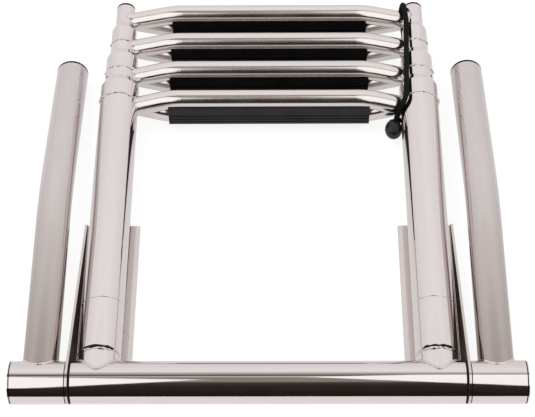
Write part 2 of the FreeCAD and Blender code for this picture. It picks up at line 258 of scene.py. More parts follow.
def over(tree, share, below, above):
    """One colour over another, by a share from 0 to 1."""
    mixed = node(tree, "ShaderNodeMix", data_type="RGBA")
    feed(tree, mixed, 0, share)
    feed(tree, mixed, 6, below)
    feed(tree, mixed, 7, above)
    return mixed.outputs[2]


print("relief and colour helpers ready")

# %% [markdown]
# The studio. Polished tube has no colour of its own: what makes it look like steel is the room
# in it. The picture's tubes show a white table and a pale wall on the folded tip's side, and a
# dark room on the photographer's side, with a lamp to each side overhead. Lamps alone would
# give small highlights in a flat grey. So the room is built: a white world, a white floor, and
# a curved dark card that only reflections see. Reflections also find the walls a little greyer
# than the ceiling, which rounds the tubes off towards their edges.

# %% World
WORLD_DIFFUSE = 0.8
WORLD_FALL = 0.17
world = bpy.data.worlds.new("studio")
bpy.context.scene.world = world
world.use_nodes = True
tree = world.node_tree
tree.nodes.clear()
rays = node(tree, "ShaderNodeLightPath").outputs
height = split(tree, node(tree, "ShaderNodeTexCoord").outputs["Generated"])["Z"]
falling = spread(tree, height, WORLD_FALL, 0, 0.0, 1.0)
falling = math_node(tree, "MULTIPLY", falling, rays["Is Glossy Ray"])
for_matt = math_node(tree, "MULTIPLY", rays["Is Diffuse Ray"], 1 - WORLD_DIFFUSE)
dimmed = math_node(tree, "ADD", falling, for_matt)
background = node(tree, "ShaderNodeBackground")
feed(tree, background, "Color", grey(1.0))
feed(tree, background, "Strength", math_node(tree, "SUBTRACT", 1.0, dimmed))
show(tree, background.outputs[0], "ShaderNodeOutputWorld")
print("world level for matt surfaces", WORLD_DIFFUSE)

# %% [markdown]
# The floor is the top of the platform, and it ends just before the hinge line, because the
# ladder swings down past that edge. The camera sees it white, and the steel a shade darker,
# which is what keeps the undersides of polished tubes from vanishing into a white picture.
# Part of its light is its own and part is what falls on it, so a soft shadow stays under the
# tubes.

# %% Floor
FLOOR_WIDTH = 12.0
FLOOR_DEPTH = 8.0
FLOOR_EDGE = -0.084
FLOOR_DROP = 0.0004


def flat_card(name, width, near, far):
    """A level rectangle across the scene, between two places along it."""
    bpy.ops.object.select_all(action="DESELECT")
    bpy.ops.mesh.primitive_plane_add(size=1, location=(0, (near + far) / 2, -FLOOR_DROP))
    card = bpy.context.object
    card.name = name
    card.scale = (width, abs(far - near), 1)
    bpy.ops.object.transform_apply(location=True, rotation=True, scale=True)
    return card


floor = flat_card("floor", FLOOR_WIDTH, FLOOR_EDGE, FLOOR_EDGE + FLOOR_DEPTH)
print("floor from", FLOOR_EDGE, "m")

# %% [markdown]
# The floor's finish adds its own light to the light that falls on it. A plain white material
# could do it in a real studio, but it would need lamps so strong that pale steel turns white.

# %% Finish of the floor
FLOOR_GLOW = 0.86
FLOOR_IN_STEEL = 0.7
FLOOR_SHADE = 0.22
floor_white, tree = new_material("floor_white")
rays = node(tree, "ShaderNodeLightPath").outputs
in_steel = math_node(tree, "MULTIPLY", rays["Is Glossy Ray"], FLOOR_IN_STEEL)
seen = math_node(tree, "MAXIMUM", rays["Is Camera Ray"], in_steel)
seen = math_node(tree, "MAXIMUM", seen, rays["Is Transmission Ray"])
matt = node(tree, "ShaderNodeBsdfDiffuse")
feed(tree, matt, "Color", grey(FLOOR_SHADE))
both = node(tree, "ShaderNodeAddShader")
feed(tree, both, 0, matt.outputs[0])
feed(tree, both, 1, glowing(tree, grey(1.0), math_node(tree, "MULTIPLY", seen, FLOOR_GLOW)))
show(tree, both.outputs[0])
floor.data.materials.append(floor_white)
print("floor glows at", FLOOR_GLOW)

# %% [markdown]
# The dark side of the room is one curved card, a stretch of a wide tube round the hinge line.
# It could be a picture wrapped round the world. Since a card stands near the ladder, its bands
# bend and taper in the tubes as they do in the picture. The tube is added whole, and the faces
# outside the card's stretch are picked by their angle and deleted.

# %% Dark card
CARD_RADIUS = 1.6
CARD_START = 57
CARD_END = 182
CARD_WIDTH = 6.0
CARD_STEPS = 360


def turn_of(point):
    """Degrees round the hinge line, from level towards the folded tip, over the top."""
    return math.degrees(math.atan2(point.z - hinge_z, point.y - hinge_y)) % 360


bpy.ops.object.select_all(action="DESELECT")
bpy.ops.mesh.primitive_cylinder_add(
    vertices=CARD_STEPS, radius=CARD_RADIUS, depth=CARD_WIDTH, end_fill_type="NOTHING",
    location=(0, hinge_y, hinge_z), rotation=(0, math.pi / 2, 0))
dark_card = bpy.context.object
dark_card.name = "dark_card"
bpy.ops.object.transform_apply(location=True, rotation=True, scale=True)
bpy.ops.object.mode_set(mode="EDIT")
bpy.ops.mesh.select_mode(type="FACE")
bpy.ops.mesh.select_all(action="DESELECT")
bpy.ops.object.mode_set(mode="OBJECT")
for face in dark_card.data.polygons:
    face.select = not CARD_START <= turn_of(face.center) <= CARD_END
bpy.ops.object.mode_set(mode="EDIT")
bpy.ops.mesh.delete(type="FACE")
bpy.ops.object.mode_set(mode="OBJECT")
print("dark card", len(dark_card.data.polygons), "faces")

# %% [markdown]
# Two level cards go on from it: the dark room's floor on the photographer's side, and a strip
# of pale table between that and the platform's edge. All three are there for the steel alone,
# so every other kind of ray passes them by.

# %% Level cards
TABLE_EDGE = -0.235
front_card = flat_card("front_card", CARD_WIDTH, TABLE_EDGE, hinge_y - CARD_RADIUS)
table_card = flat_card("table_card", CARD_WIDTH, FLOOR_EDGE, TABLE_EDGE)
for card in (dark_card, front_card, table_card):
    card.visible_camera = False
    card.visible_diffuse = False
    card.visible_shadow = False
    card.visible_transmission = False
    card.visible_volume_scatter = False
print("table from", TABLE_EDGE, "to", FLOOR_EDGE, "m")

# %% [markdown]
# The card's paint is a ramp on the angle round the hinge line. The stops are the bands down
# the cross tube in the picture, each at the angle that its row reflects and divided by the
# steel's own colour. A ramp says that in a few stops, and they are easy to shift.

# %% Bands of the dark card
PALE = (0.94, 0.94, 0.94)
SOFT_GREY = (0.78, 0.77, 0.76)
MID_GREY = (0.45, 0.44, 0.43)
LOW_GREY = (0.27, 0.26, 0.255)
SHADE = (0.14, 0.132, 0.13)
STRIP = (0.75, 0.73, 0.72)
BROWN = (0.29, 0.262, 0.24)
DARK_BROWN = (0.073, 0.053, 0.042)
DEEP_BROWN = (0.032, 0.024, 0.019)
NEAR_BLACK = (0.013, 0.010, 0.009)
BANDS = [(62, PALE), (69, SOFT_GREY), (73, MID_GREY), (76.5, LOW_GREY), (80, SHADE),
         (84.5, SHADE), (87, STRIP), (89, STRIP), (91.5, BROWN), (113.5, BROWN),
         (119.5, DARK_BROWN), (136, DEEP_BROWN), (190, NEAR_BLACK)]
card_paint, tree = new_material("dark_card")
across, along, up = split(tree, object_place(tree))
up = math_node(tree, "SUBTRACT", up, hinge_z)
along = math_node(tree, "SUBTRACT", along, hinge_y)
degrees = math_node(tree, "MULTIPLY", math_node(tree, "ARCTAN2", up, along), 180 / math.pi)
degrees = math_node(tree, "MODULO", math_node(tree, "ADD", degrees, 360), 360)
banded = colour_ramp(tree, math_node(tree, "DIVIDE", degrees, 360),
                     [(turn / 360, colour) for turn, colour in BANDS])
print("bands", len(BANDS))

# %% [markdown]
# Each lamp is an opening in that paint that widens away from the middle, which gives the white
# wedges that taper along the cross tube from both ends. The right lamp stands nearer and
# higher than the left one, so each value below is a pair. Lamps of their own could stand in
# front of the card, but their edges would be hard to place against its bands.

# %% Lamps in the dark card
LAMP_LEVEL = 1.22
LAMP_START = 78
LAMP_END = 148
LAMP_MIDDLES = (97.7, 88.7)
LAMP_LEANS = (45, 27)
LAMP_NEAR_X = (0.135, 0.06)
LAMP_SPREAD = 0.0118
LAMP_EDGE = 0.012
on_right = math_node(tree, "GREATER_THAN", across, 0)
off_centre = math_node(tree, "ABSOLUTE", across)


def by_side(values):
    """The first value on the left of the card, the second on its right."""
    left, right = values
    return math_node(tree, "ADD", math_node(tree, "MULTIPLY", on_right, right - left), left)


middle = math_node(tree, "MULTIPLY", off_centre, by_side(LAMP_LEANS))
middle = math_node(tree, "ADD", middle, by_side(LAMP_MIDDLES))
off_middle = math_node(tree, "ABSOLUTE", math_node(tree, "SUBTRACT", degrees, middle))
edge = math_node(tree, "MULTIPLY", off_middle, LAMP_SPREAD)
edge = math_node(tree, "ADD", edge, by_side(LAMP_NEAR_X))
lamp = spread(tree, math_node(tree, "SUBTRACT", off_centre, edge), 0, 1, -LAMP_EDGE, LAMP_EDGE)
lamp = math_node(tree, "MULTIPLY", lamp, math_node(tree, "GREATER_THAN", degrees, LAMP_START))
lamp = math_node(tree, "MULTIPLY", lamp, math_node(tree, "LESS_THAN", degrees, LAMP_END))
show(tree, glowing(tree, over(tree, lamp, banded, grey(LAMP_LEVEL))))
dark_card.data.materials.append(card_paint)
front_card.data.materials.append(card_paint)
print("lamps from", LAMP_START, "to", LAMP_END, "degrees")

# %% [markdown]
# The strip of table is a plain pale surface, a little warm. It needs no bands, because the
# tubes squeeze it to a thin line.

# %% Paint of the table
TABLE_COLOUR = (0.95, 0.92, 0.91, 1.0)
table_paint, tree = new_material("table_card")
show(tree, glowing(tree, TABLE_COLOUR))
table_card.data.materials.append(table_paint)
print("table", TABLE_COLOUR[:3])

# %% [markdown]
# One soft lamp over the left shoulder gives the black plastics a lit side and the floor a
# shadow with a direction. The steel doesn't see it, because its lamps are on the card.

# %% Lamp
LAMP_POWER = 9
LAMP_WIDTH = 0.9
LAMP_PLACE = (-0.7, 0.1, 1.5)
lamp_data = bpy.data.lights.new("soft_lamp", "AREA")
lamp_data.energy = LAMP_POWER
lamp_data.shape = "DISK"
lamp_data.size = LAMP_WIDTH
soft_lamp = bpy.data.objects.new("soft_lamp", lamp_data)
bpy.context.collection.objects.link(soft_lamp)
soft_lamp.location = LAMP_PLACE
soft_lamp.rotation_euler = (0, math.atan2(LAMP_PLACE[0], LAMP_PLACE[2]), 0)
soft_lamp.visible_glossy = False
soft_lamp.visible_camera = False
print("lamp", LAMP_POWER, "W")

# %% [markdown]
# Painted shade and painted reflection on the steel. Inside the bracket walls the inner faces are
# painted dark brown, rough and not metallic: painted shade, for the dark room that they reflect
# and the shade between wall and column. At the hinge end of the handles a brown tint is painted
# that fades along the tube: a painted reflection of the dark smear that the handles show there.
# Both could be painted on by hand. Here each is a share from 0 to 1 that follows from the place
# alone.

# %% Painted shade in the brackets and painted reflection on the handles
SHEET = 0.0025
# Painted shade inside the bracket walls: how deep into the wall it reaches, its colour and its roughness.
PAINTED_SHADE_DEPTH = 0.0004
PAINTED_SHADE_COLOUR = (0.075, 0.047, 0.036, 1.0)
PAINTED_SHADE_ROUGH = 0.7
# Painted reflection on the handles: its brown, and where along the tube it fades out.
PAINTED_REFLECTION_COLOUR = (0.46, 0.4, 0.372, 1.0)
REFLECTION_FADE_START = -0.08
REFLECTION_FADE_END = 0.11


def bracket_painted_shade(tree, coordinates, shade_edge_x):
    """Where the painted shade is: the upright faces that look towards the middle."""
    across = math_node(tree, "ABSOLUTE", split(tree, coordinates)["X"])
    within = math_node(tree, "LESS_THAN", across, shade_edge_x)
    past_base = math_node(tree, "GREATER_THAN", across, shade_edge_x - PAINTED_SHADE_DEPTH)
    return math_node(tree, "MULTIPLY", within, past_base)


def painted_reflection_share(tree, coordinates):
    """Where the painted reflection is: a brown tint that fades away from the hinge end."""
    return spread(tree, split(tree, coordinates)["Y"], 1, 0, REFLECTION_FADE_START, REFLECTION_FADE_END)


wall_inner_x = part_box("bracket_right")[1][0] - SHEET
print("bracket wall's inner face at", round(wall_inner_x, 4), "m")

# %% [markdown]
# Polished stainless tube. A perfect mirror looks like a drawing of steel. Real tube is buffed
# on a wheel, which leaves hair lines along the tube, faint waves in the wall and a roughness
# that comes and goes where hands have been. The hair lines are noise drawn out along the tube,
# so a tube that lies across the ladder and one that lies along it need one material each.

# %% Steel
STEEL_COLOUR = (0.765, 0.7, 0.692)
STREAK = 0.018
STREAK_LINES = 180
HAIR_LINES = 900
HAIR_ROUGH = 0.012
HAIR_DEPTH = 0.000002
SMUDGES = 22
WAVES = 14


def steel(name, stretch, colour=STEEL_COLOUR, low=0.035, high=0.075, wave=0.00012,
          shade_edge_x=None, with_painted_reflection=False):
    """Buffed steel whose hair lines run where the stretch is small."""
    darker = tuple(channel * (1 - STREAK) for channel in colour)
    lighter = tuple(channel * (1 + STREAK) for channel in colour)
    material, tree = new_material(name)
    coordinates = object_place(tree)
    hairs = noise(tree, coordinates, HAIR_LINES, detail=2.0, stretch=stretch)
    streaks = noise(tree, coordinates, STREAK_LINES, detail=3.0, stretch=stretch)
    skin = colour_ramp(tree, streaks, [(NOISE_LOW, darker), (NOISE_HIGH, lighter)])
    rough = spread(tree, noise(tree, coordinates, SMUDGES, detail=5.0), low, high)
    rough = math_node(tree, "ADD", rough, spread(tree, hairs, -HAIR_ROUGH, HAIR_ROUGH))
    shader = node(tree, "ShaderNodeBsdfPrincipled")
    feed(tree, shader, "Metallic", 1.0)
    # On the handles a brown painted reflection darkens the steel towards the hinge end.
    if with_painted_reflection:
        skin = over(tree, painted_reflection_share(tree, coordinates), skin, PAINTED_REFLECTION_COLOUR)
    # Inside the bracket walls the steel is painted dark brown, rough and not metallic: painted shade.
    if shade_edge_x:
        scale = bracket_painted_shade(tree, coordinates, shade_edge_x)
        skin = over(tree, scale, skin, PAINTED_SHADE_COLOUR)
        shaded_roughness = math_node(tree, "MULTIPLY", scale, PAINTED_SHADE_ROUGH)
        rough = math_node(tree, "MAXIMUM", rough, shaded_roughness)
        feed(tree, shader, "Metallic", math_node(tree, "SUBTRACT", 1.0, scale))
    feed(tree, shader, "Base Color", skin)
    feed(tree, shader, "Roughness", rough)
    rolled = bump(tree, noise(tree, coordinates, WAVES, detail=1.0), wave)
    feed(tree, shader, "Normal", bump(tree, hairs, HAIR_DEPTH, rolled))
    show(tree, shader.outputs[0])
    return material


print("hair lines a metre", HAIR_LINES)

# %% [markdown]
# Six kinds of steel. The handles were buffed less and are a shade darker. The rungs are bent
# before they are buffed, so they are a little duller, and the room's bands are softer in them.
# The brackets are sheet and the welds are rough. One builder makes all six, because they
# differ only in colour, in roughness and in where their hair lines run.

# %% Kinds of steel
HANDLE_COLOUR = (0.67, 0.61, 0.6)
RUNG_COLOUR = (0.77, 0.72, 0.7)
SHEET_COLOUR = (0.66, 0.6, 0.575)
WELD_COLOUR = (0.74, 0.68, 0.67)
LINES_ALONG = (1.0, 0.02, 1.0)
LINES_ACROSS = (0.02, 1.0, 1.0)
NO_LINES = (1.0, 1.0, 1.0)
steel_along = steel("polished_steel_along", LINES_ALONG)
steel_across = steel("polished_steel_across", LINES_ACROSS)
# The handles carry the painted reflection towards the hinge end.
steel_handle = steel("polished_steel_handle", LINES_ALONG, HANDLE_COLOUR, low=0.03, high=0.06,
                     with_painted_reflection=True)
steel_rung = steel("polished_steel_rung", LINES_ACROSS, RUNG_COLOUR, low=0.13, high=0.18)
# The bracket sheet carries the painted shade on the inner faces of its walls.
steel_sheet = steel("bracket_steel", LINES_ALONG, SHEET_COLOUR, high=0.1,
                    shade_edge_x=wall_inner_x + PAINTED_SHADE_DEPTH / 2)
weld_steel = steel("weld_steel", NO_LINES, WELD_COLOUR, low=0.45, high=0.6, wave=0.0004)
print("steel materials", 6)

# %% [markdown]
# Black plastics. They are moulded with a fine grain and go a little shiny in patches where
# feet and hands have worn them. A flat black would hide the ribs of the treads. One builder
# makes them all, because they differ only in colour, roughness, grain and wear.

# %% Plastic
PATCHES = 35
PATCH_LOW = 0.3
PATCH_HIGH = 0.7
DARK_SHARE = 0.8
LIGHT_SHARE = 1.25
LIGHT_LIFT = 0.002


def plastic(name, colour, rough, grain, grain_height, worn, specular):
    """Moulded plastic with a grain, and shinier patches where it is worn."""
    material, tree = new_material(name)
    coordinates = object_place(tree)
    patches = noise(tree, coordinates, PATCHES, detail=4.0)
    dark = tuple(channel * DARK_SHARE for channel in colour)
    light = tuple(channel * LIGHT_SHARE + LIGHT_LIFT for channel in colour)
    shader = node(tree, "ShaderNodeBsdfPrincipled")
    mottled = colour_ramp(tree, patches, [(PATCH_LOW, dark), (PATCH_HIGH, light)])
    feed(tree, shader, "Base Color", mottled)
    feed(tree, shader, "Specular IOR Level", specular)
    feed(tree, shader, "Roughness", spread(tree, patches, rough, rough - worn))
    grained = bump(tree, noise(tree, coordinates, grain, detail=3.0), grain_height)
    feed(tree, shader, "Normal", grained)
    show(tree, shader.outputs[0])
    return material


print("patches a metre", PATCHES)

# %% [markdown]
# The treads are the roughest. The first tread is painted greyer, as lit, and the other three
# near black, as painted shade under the rungs above them, so the first has a plastic of its own.
# The caps and the ball are smoother. The nylon bushings are matt from the lathe, and the
# bungee's fabric is the mattest of all.

# %% Kinds of plastic
# Painted light: the first tread is a lighter, lit copy of the tread plastic.
tread_one_lit = plastic("tread_one_lit_plastic", (0.0195, 0.015, 0.0165), rough=0.5, grain=2600,
                      grain_height=0.00004, worn=0.12, specular=0.2)
# Painted shade: the other treads are near black and barely shiny, as shaded by the rungs above them.
tread_plastic = plastic("tread_plastic", (0.002, 0.0018, 0.0018), rough=0.55, grain=2600,
                        grain_height=0.00004, worn=0.1, specular=0.03)
cap_plastic = plastic("cap_plastic", (0.003, 0.003, 0.003), rough=0.45, grain=3000,
                      grain_height=0.00001, worn=0.06, specular=0.14)
ball_plastic = plastic("ball_plastic", (0.006, 0.006, 0.006), rough=0.33, grain=3000,
                       grain_height=0.00001, worn=0.05, specular=0.45)
nylon = plastic("bushing_nylon", (0.004, 0.004, 0.004), rough=0.55, grain=1800,
                grain_height=0.00003, worn=0.1, specular=0.15)
cord_fabric = plastic("bungee_elastic", (0.0035, 0.0035, 0.0035), rough=0.7, grain=1500,
                      grain_height=0.00003, worn=0.05, specular=0.12)
print("plastic materials", 6)

# %% [markdown]
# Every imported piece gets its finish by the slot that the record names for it. A few go by
# their own names too: the first tread, the rungs, the handles, and the steel that lies across
# the ladder. Only the material in each slot changes, and the meshes stay as they are.

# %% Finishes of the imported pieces
ACROSS_PIECES = ("cross_tube", "hinge_pins", "handle_sleeve", "sleeve_cap")
FINISHES = {
    "polished_steel": steel_along,
    "bracket_steel": steel_sheet,
    "tread_plastic": tread_plastic,
    "cap_plastic": cap_plastic,
    "bushing_nylon": nylon,
    "bungee_elastic": cord_fabric,
    "bungee_ball": ball_plastic,
}
STEEL_BY_NAME = [("rung_", steel_rung), ("handle_tube", steel_handle),
                 (ACROSS_PIECES, steel_across)]


def finish_for(name, slot):
    """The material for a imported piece."""
    # The first tread takes the lit copy of the tread plastic, which is painted light.
    if name == "tread_1":
        return tread_one_lit
    if slot == "polished_steel":
        for start, material in STEEL_BY_NAME:
            if name.startswith(start):
                return material
    return FINISHES[slot]


for subpart in frame["record"]["subparts"]:
    material = finish_for(subpart["node"], subpart["material_slot"])
    for slot in nodes[subpart["node"]].material_slots:
        slot.material = material

# %% [markdown]
# Sizes that the welds need. The four tubes of a column, where each ends, and where each rung
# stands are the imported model's, counted from the hinge line. They could be read back from the
# meshes, but a plain list is easier to check against the drawing.

# %% Sizes of the tubes
COLUMN_X = 0.15
COLUMN_RADII = (0.01905, 0.015875, 0.0127, 0.009525)
STAGE_BODIES = ("ladder_frame", "stage_2", "stage_3", "stage_4")
SIDES = (("left", -1), ("right", 1))


def place(x, distance, height):
    """A point by its distance from the hinge line and its height over it."""
    return Vector((x, hinge_y + distance, hinge_z + height))


print("columns", 2 * COLUMN_X, "m apart, tubes", [round(2 * radius, 5) for radius in COLUMN_RADII])

# %% [markdown]
# Where a weld lies. A bead between two tubes follows the saddle where they meet. A torus can't
# do that, and a saddle drawn by hand would have to be drawn again for each joint. So a bead
# starts as a plain circle of points, and each point drops in one direction onto whatever
# steel it meets first. A point that misses goes as far as the furthest one.

# %% Dropping a ring onto the steel
def drop_onto(ring, targets, direction):
    """Move each point of a ring along a direction to the first steel that it meets."""
    drops = []
    for vertex in ring.data.vertices:
        hits = [nodes[name].ray_cast(vertex.co, direction) for name in targets]
        drops.append(min([(spot - vertex.co).length for found, spot, _, _ in hits if found],
                         default=0))
    for vertex, drop in zip(ring.data.vertices, drops):
        vertex.co += Vector(direction) * (drop or max(drops))


print("rings can drop onto", len(nodes), "pieces")

# %% [markdown]
# A weld bead. Every tube that meets another is joined by a bead of weld metal, ground and then
# buffed, so it is bright but never even. The circle of points becomes a curve with a round
# section whose thickness wanders, and then one closed ring of mesh, half sunk in the joint.
# Sculpting it would look as good, but would be slow to repeat for every joint.

# %% Bead
BEAD_STEPS = 120
BEAD_SECTION = 3
ALONG_TURN = (math.pi / 2, 0, 0)
ACROSS_TURN = (0, math.pi / 2, 0)
LUMP_SCALE = 330
SLIP_SCALE = 0.6
SLIP_SHARE = 0.5
THINNEST = 0.25


def bead(centre, turn, radius, thick, wander, seed, targets=(), direction=None, size=None):
    """A ring of weld metal, with a thickness that wanders along it, and a size by place."""
    bpy.ops.object.select_all(action="DESELECT")
    bpy.ops.mesh.primitive_circle_add(vertices=BEAD_STEPS, radius=radius, location=centre,
                                      rotation=turn)
    bpy.ops.object.transform_apply(location=True, rotation=True, scale=True)
    if targets:
        drop_onto(bpy.context.object, targets, direction)
    bpy.ops.object.convert(target="CURVE")
    ring = bpy.context.object
    ring.data.bevel_depth = thick
    ring.data.bevel_resolution = BEAD_SECTION
    for point in ring.data.splines[0].points:
        spot = point.co.to_3d()
        lump = lumpy.noise(spot * LUMP_SCALE + Vector((seed, 0, 0)))
        slip = lumpy.noise(spot * LUMP_SCALE * SLIP_SCALE + Vector((0, seed, 0)))
        point.radius = max(THINNEST, 1 + wander * lump) * (size(spot) if size else 1)
        point.co.y += thick * wander * SLIP_SHARE * slip
    bpy.ops.object.convert(target="MESH")
    bpy.ops.object.shade_smooth()
    return bpy.context.object


print("points round a bead", BEAD_STEPS)

# %% [markdown]
# Beads come in pairs, one for each column, and the pair rides on one body. Each could be an
# object of its own, but joined they are one piece with one name, which keeps the list of
# pieces as short as a welder's drawing.

# %% Beads as pieces
def both_columns(distance, radius, seed, shift=0, **shape):
    """A bead round the left column and one round the right."""
    return [bead(place(side * COLUMN_X, distance, 0), ALONG_TURN, radius,
                 seed=seed * side + shift, **shape) for _, side in SIDES]


def weld_piece(name, body, beads, material=steel_along):
    """Join beads that ride together into one piece."""
    bpy.ops.object.select_all(action="DESELECT")
    for ring in beads:
        ring.select_set(True)
    bpy.context.view_layer.objects.active = beads[0]
    if len(beads) > 1:
        bpy.ops.object.join()
    piece = bpy.context.object
    piece.name = name
    piece.data.name = name
    piece.data.materials.clear()
    piece.data.materials.append(material)
    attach(piece, body)
    print(name, len(piece.data.polygons), "faces")
    return piece


print("bead helpers ready")

# %% [markdown]
# The column feet. Each column meets its stub in a joint that is welded only over the top,
# where the torch reaches, with a ragged bead and a crack behind it. The crack's shade is
# painted: a thin ring of black plastic, sunk in the joint, stands for the shade and the dark
# reflection in it. Down the sides and under the tube the joint is filled and ground flush. A
# full dark ring could stand for all of it, but from the front it would look like a rubber
# washer. So a bead's size follows its height on the tube, and what fades out at the top fades
# in down the sides.

# %% Column feet
FOOT_SEAM = 0.0266
FOOT_BEAD = 0.0246
FADE_START = 0.0145
FADE_END = 0.0112
first_radius = COLUMN_RADII[0]


def upper_part(spot):
    """Full size over the top of a column, thin down its sides."""
    share = (spot.z - hinge_z - FADE_END) / (FADE_START - FADE_END)
    return min(1, max(THINNEST, share))


def lower_part(spot):
    """Full size down the sides of a column and under it, thin over its top."""
    return 1 + THINNEST - upper_part(spot)


# Painted shade: black plastic rings over the top of each foot joint, standing for the shade in the crack.
crack_shade_rings = both_columns(FOOT_SEAM, first_radius - 0.0006, seed=3, thick=0.0014,
                              wander=0.5, size=upper_part)
foot_crack_shade = weld_piece("foot_crack_shade", "ladder_frame", crack_shade_rings, nylon)
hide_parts("foot_gaskets")
foot_rings = both_columns(FOOT_BEAD, first_radius - 0.0004, seed=29, thick=0.0010,
                          wander=1.2, size=upper_part)
foot_rings += both_columns(FOOT_SEAM, first_radius - 0.0006, seed=31, thick=0.0008,
                           wander=0.2, size=lower_part)
weld_piece("foot_welds", "ladder_frame", foot_rings)

# %% [markdown]
# Behind the foot, a fine seam closes the collar, and in front the stub meets the cross tube.
# The stub's bead drops onto the cross tube, which bends it into the pointed saddle that two
# crossed tubes make. A welder dresses it with a brush and no wheel, so it is the rough kind
# of steel.

# %% Collar seams and stubs
COLLAR_SEAM = 0.078
TOWARDS_HINGE = (0, -1, 0)
collar_rings = both_columns(COLLAR_SEAM, first_radius, seed=5, thick=0.0004, wander=0.4)
weld_piece("foot_collar_welds", "ladder_frame", collar_rings)
stub_rings = both_columns(FOOT_SEAM, first_radius - 0.0004, seed=7, thick=0.0014, wander=0.15,
                          targets=["cross_tube"], direction=TOWARDS_HINGE)
weld_piece("stub_welds", "ladder_frame", stub_rings, weld_steel)

# %% [markdown]
# The stages. Where one tube of the telescope ends, its collar is tacked on all round, which
# leaves a dotted seam. Where a rung's neck meets its column, the bead runs over the tube and
# over the collar. Both repeat at each stage, so one loop makes them and each rides on the body
# of its own stage.

# %% Welds of the stages
TUBE_ENDS = (0.3158, 0.3536, 0.3914)
RUNG_DISTANCES = (0.3133, 0.3511, 0.3889, 0.4267)
NECK_RADII = (0.009675, 0.009675, 0.009675, 0.00925)
NECK_THICK = 0.0009
SEAM_THICK = 0.001
SEAM_SINK = 0.0001
for number, body in enumerate(STAGE_BODIES):
    stage = number + 1
    radius = COLUMN_RADII[number]
    neck = NECK_RADII[number]
    last = stage == len(STAGE_BODIES)
    above = "tip_caps" if last else f"collars_{stage + 1}"
    necks = []
    for side_name, side in SIDES:
        start = place(side * (COLUMN_X - radius - neck / 2), RUNG_DISTANCES[number], 0)
        necks.append(bead(start, ACROSS_TURN, neck, thick=NECK_THICK, wander=0.5,
                          seed=11 * side + stage, direction=(side, 0, 0),
                          targets=[f"column_{stage}_{side_name}", above]))
    weld_piece(f"rung_welds_{stage}", body, necks)
    if not last:
        seams = both_columns(TUBE_ENDS[number], radius - SEAM_SINK, seed=17, shift=stage,
                             thick=SEAM_THICK, wander=1.7)
        weld_piece(f"stage_seams_{stage}", body, seams)

# %% [markdown]
# The handles rise a little as they leave their sleeves, so the circle for each bead is tilted
# by that rise before it drops back along the handle onto the sleeve. It could drop straight
# back, but the bead would then sit too high on one side of the tube.

# %% Welds of the handles
HANDLE_X = 0.2017
HANDLE_RADIUS = 0.015875
HANDLE_START = 0.027
HANDLE_CLIMB = 0.015
HANDLE_RUN = 0.191
HANDLE_RISE = math.atan2(HANDLE_CLIMB, HANDLE_RUN)
HANDLE_TURN = (HANDLE_RISE - math.pi / 2, 0, 0)
for side_name, side in SIDES:
    towards = (0, -math.cos(HANDLE_RISE), -math.sin(HANDLE_RISE))
    start = place(side * HANDLE_X, HANDLE_START * math.cos(HANDLE_RISE),
                  HANDLE_START * math.sin(HANDLE_RISE))
    ring = bead(start, HANDLE_TURN, HANDLE_RADIUS, thick=0.0011, wander=0.55, seed=23 * side,
                targets=[f"handle_sleeve_{side_name}"], direction=towards)
    weld_piece(f"handle_weld_{side_name}", f"handle_{side_name}", [ring])

# %% [markdown]
# The bungee. A tight loop of braided elastic holds the folded rungs together: it starts in a
# ball, passes over the ends of the rungs, round the last one and back under. Its way could be
# drawn by hand through many points, which looks like bent wire. Here only the places where the
# cord turns are given, and the way back is the way out, mirrored below the hinge line's level.

# %% Turns of the bungee
BALL_SPOT = place(0.1239, 0.2905, -0.0096)
BUNGEE_TURNS = [(0.1275, 0.300025, 0.005), (0.1358, 0.30854, 0.0195), (0.1367, 0.326, 0.0188),
                (0.1404, 0.401, 0.0158), (0.141, 0.414, 0.0152), (0.1392, 0.4399, 0.0144)]
OVER = [place(*spot) for spot in BUNGEE_TURNS]
FAR_SIDE = place(0.1373, 0.44, 0)
UNDER = [place(x, distance, -height) for x, distance, height in reversed(BUNGEE_TURNS)]
loop = [BALL_SPOT] + OVER + [FAR_SIDE] + UNDER + [BALL_SPOT]
print("bungee turns at", len(loop), "places")

# %% [markdown]
# Those places steer a smooth curve. The curve could get a round bevel and be the cord, but its
# braid needs a mesh that knows how far along the cord it is. So the curve is read back as
# points, and the points are set an even step apart.

# %% Line of the bungee
LINE_STEPS = 24
BRAID_STEP = 0.00045


def smooth_line(spots):
    """Points along a smooth line that is steered by a few places."""
    data = bpy.data.curves.new("bungee_line", "CURVE")
    data.dimensions = "3D"
    data.resolution_u = LINE_STEPS
    spline = data.splines.new("NURBS")
    spline.points.add(len(spots) - 1)
    for control, spot in zip(spline.points, spots):
        control.co = (*spot, 1.0)
    spline.order_u = 3
    spline.use_endpoint_u = True
    holder = bpy.data.objects.new("bungee_line", data)
    bpy.context.collection.objects.link(holder)
    bpy.context.view_layer.update()
    mesh = bpy.data.meshes.new_from_object(holder)
    line = [vertex.co.copy() for vertex in mesh.vertices]
    bpy.data.objects.remove(holder)
    return line


def evenly(line, step):
    """The same line with points a fixed step apart."""
    spots = [line[0]]
    left = step
    for near, far in zip(line, line[1:]):
        run = (far - near).length
        while left <= run:
            spots.append(near.lerp(far, left / run))
            left += step
        left -= run
    return spots


bungee_line = evenly(smooth_line(loop), BRAID_STEP)
print("bungee", round(len(bungee_line) * BRAID_STEP, 3), "m round")

# %% [markdown]
# The braid. A tube with a braid in its bump would look smooth at its edge. So a tube is laid
# round the line in mesh code, ring by ring, and its surface rises and falls with two sets of
# strands that cross. The rings keep the same side up from one to the next, or the strands
# would twist where the cord turns.

# %% Tube of the bungee
BUNGEE_RADIUS = 0.00275
BRAID_SIDES = 36
BRAID_STRANDS = 6
BRAID_PITCH = 0.017
BRAID_DEPTH = 0.00032


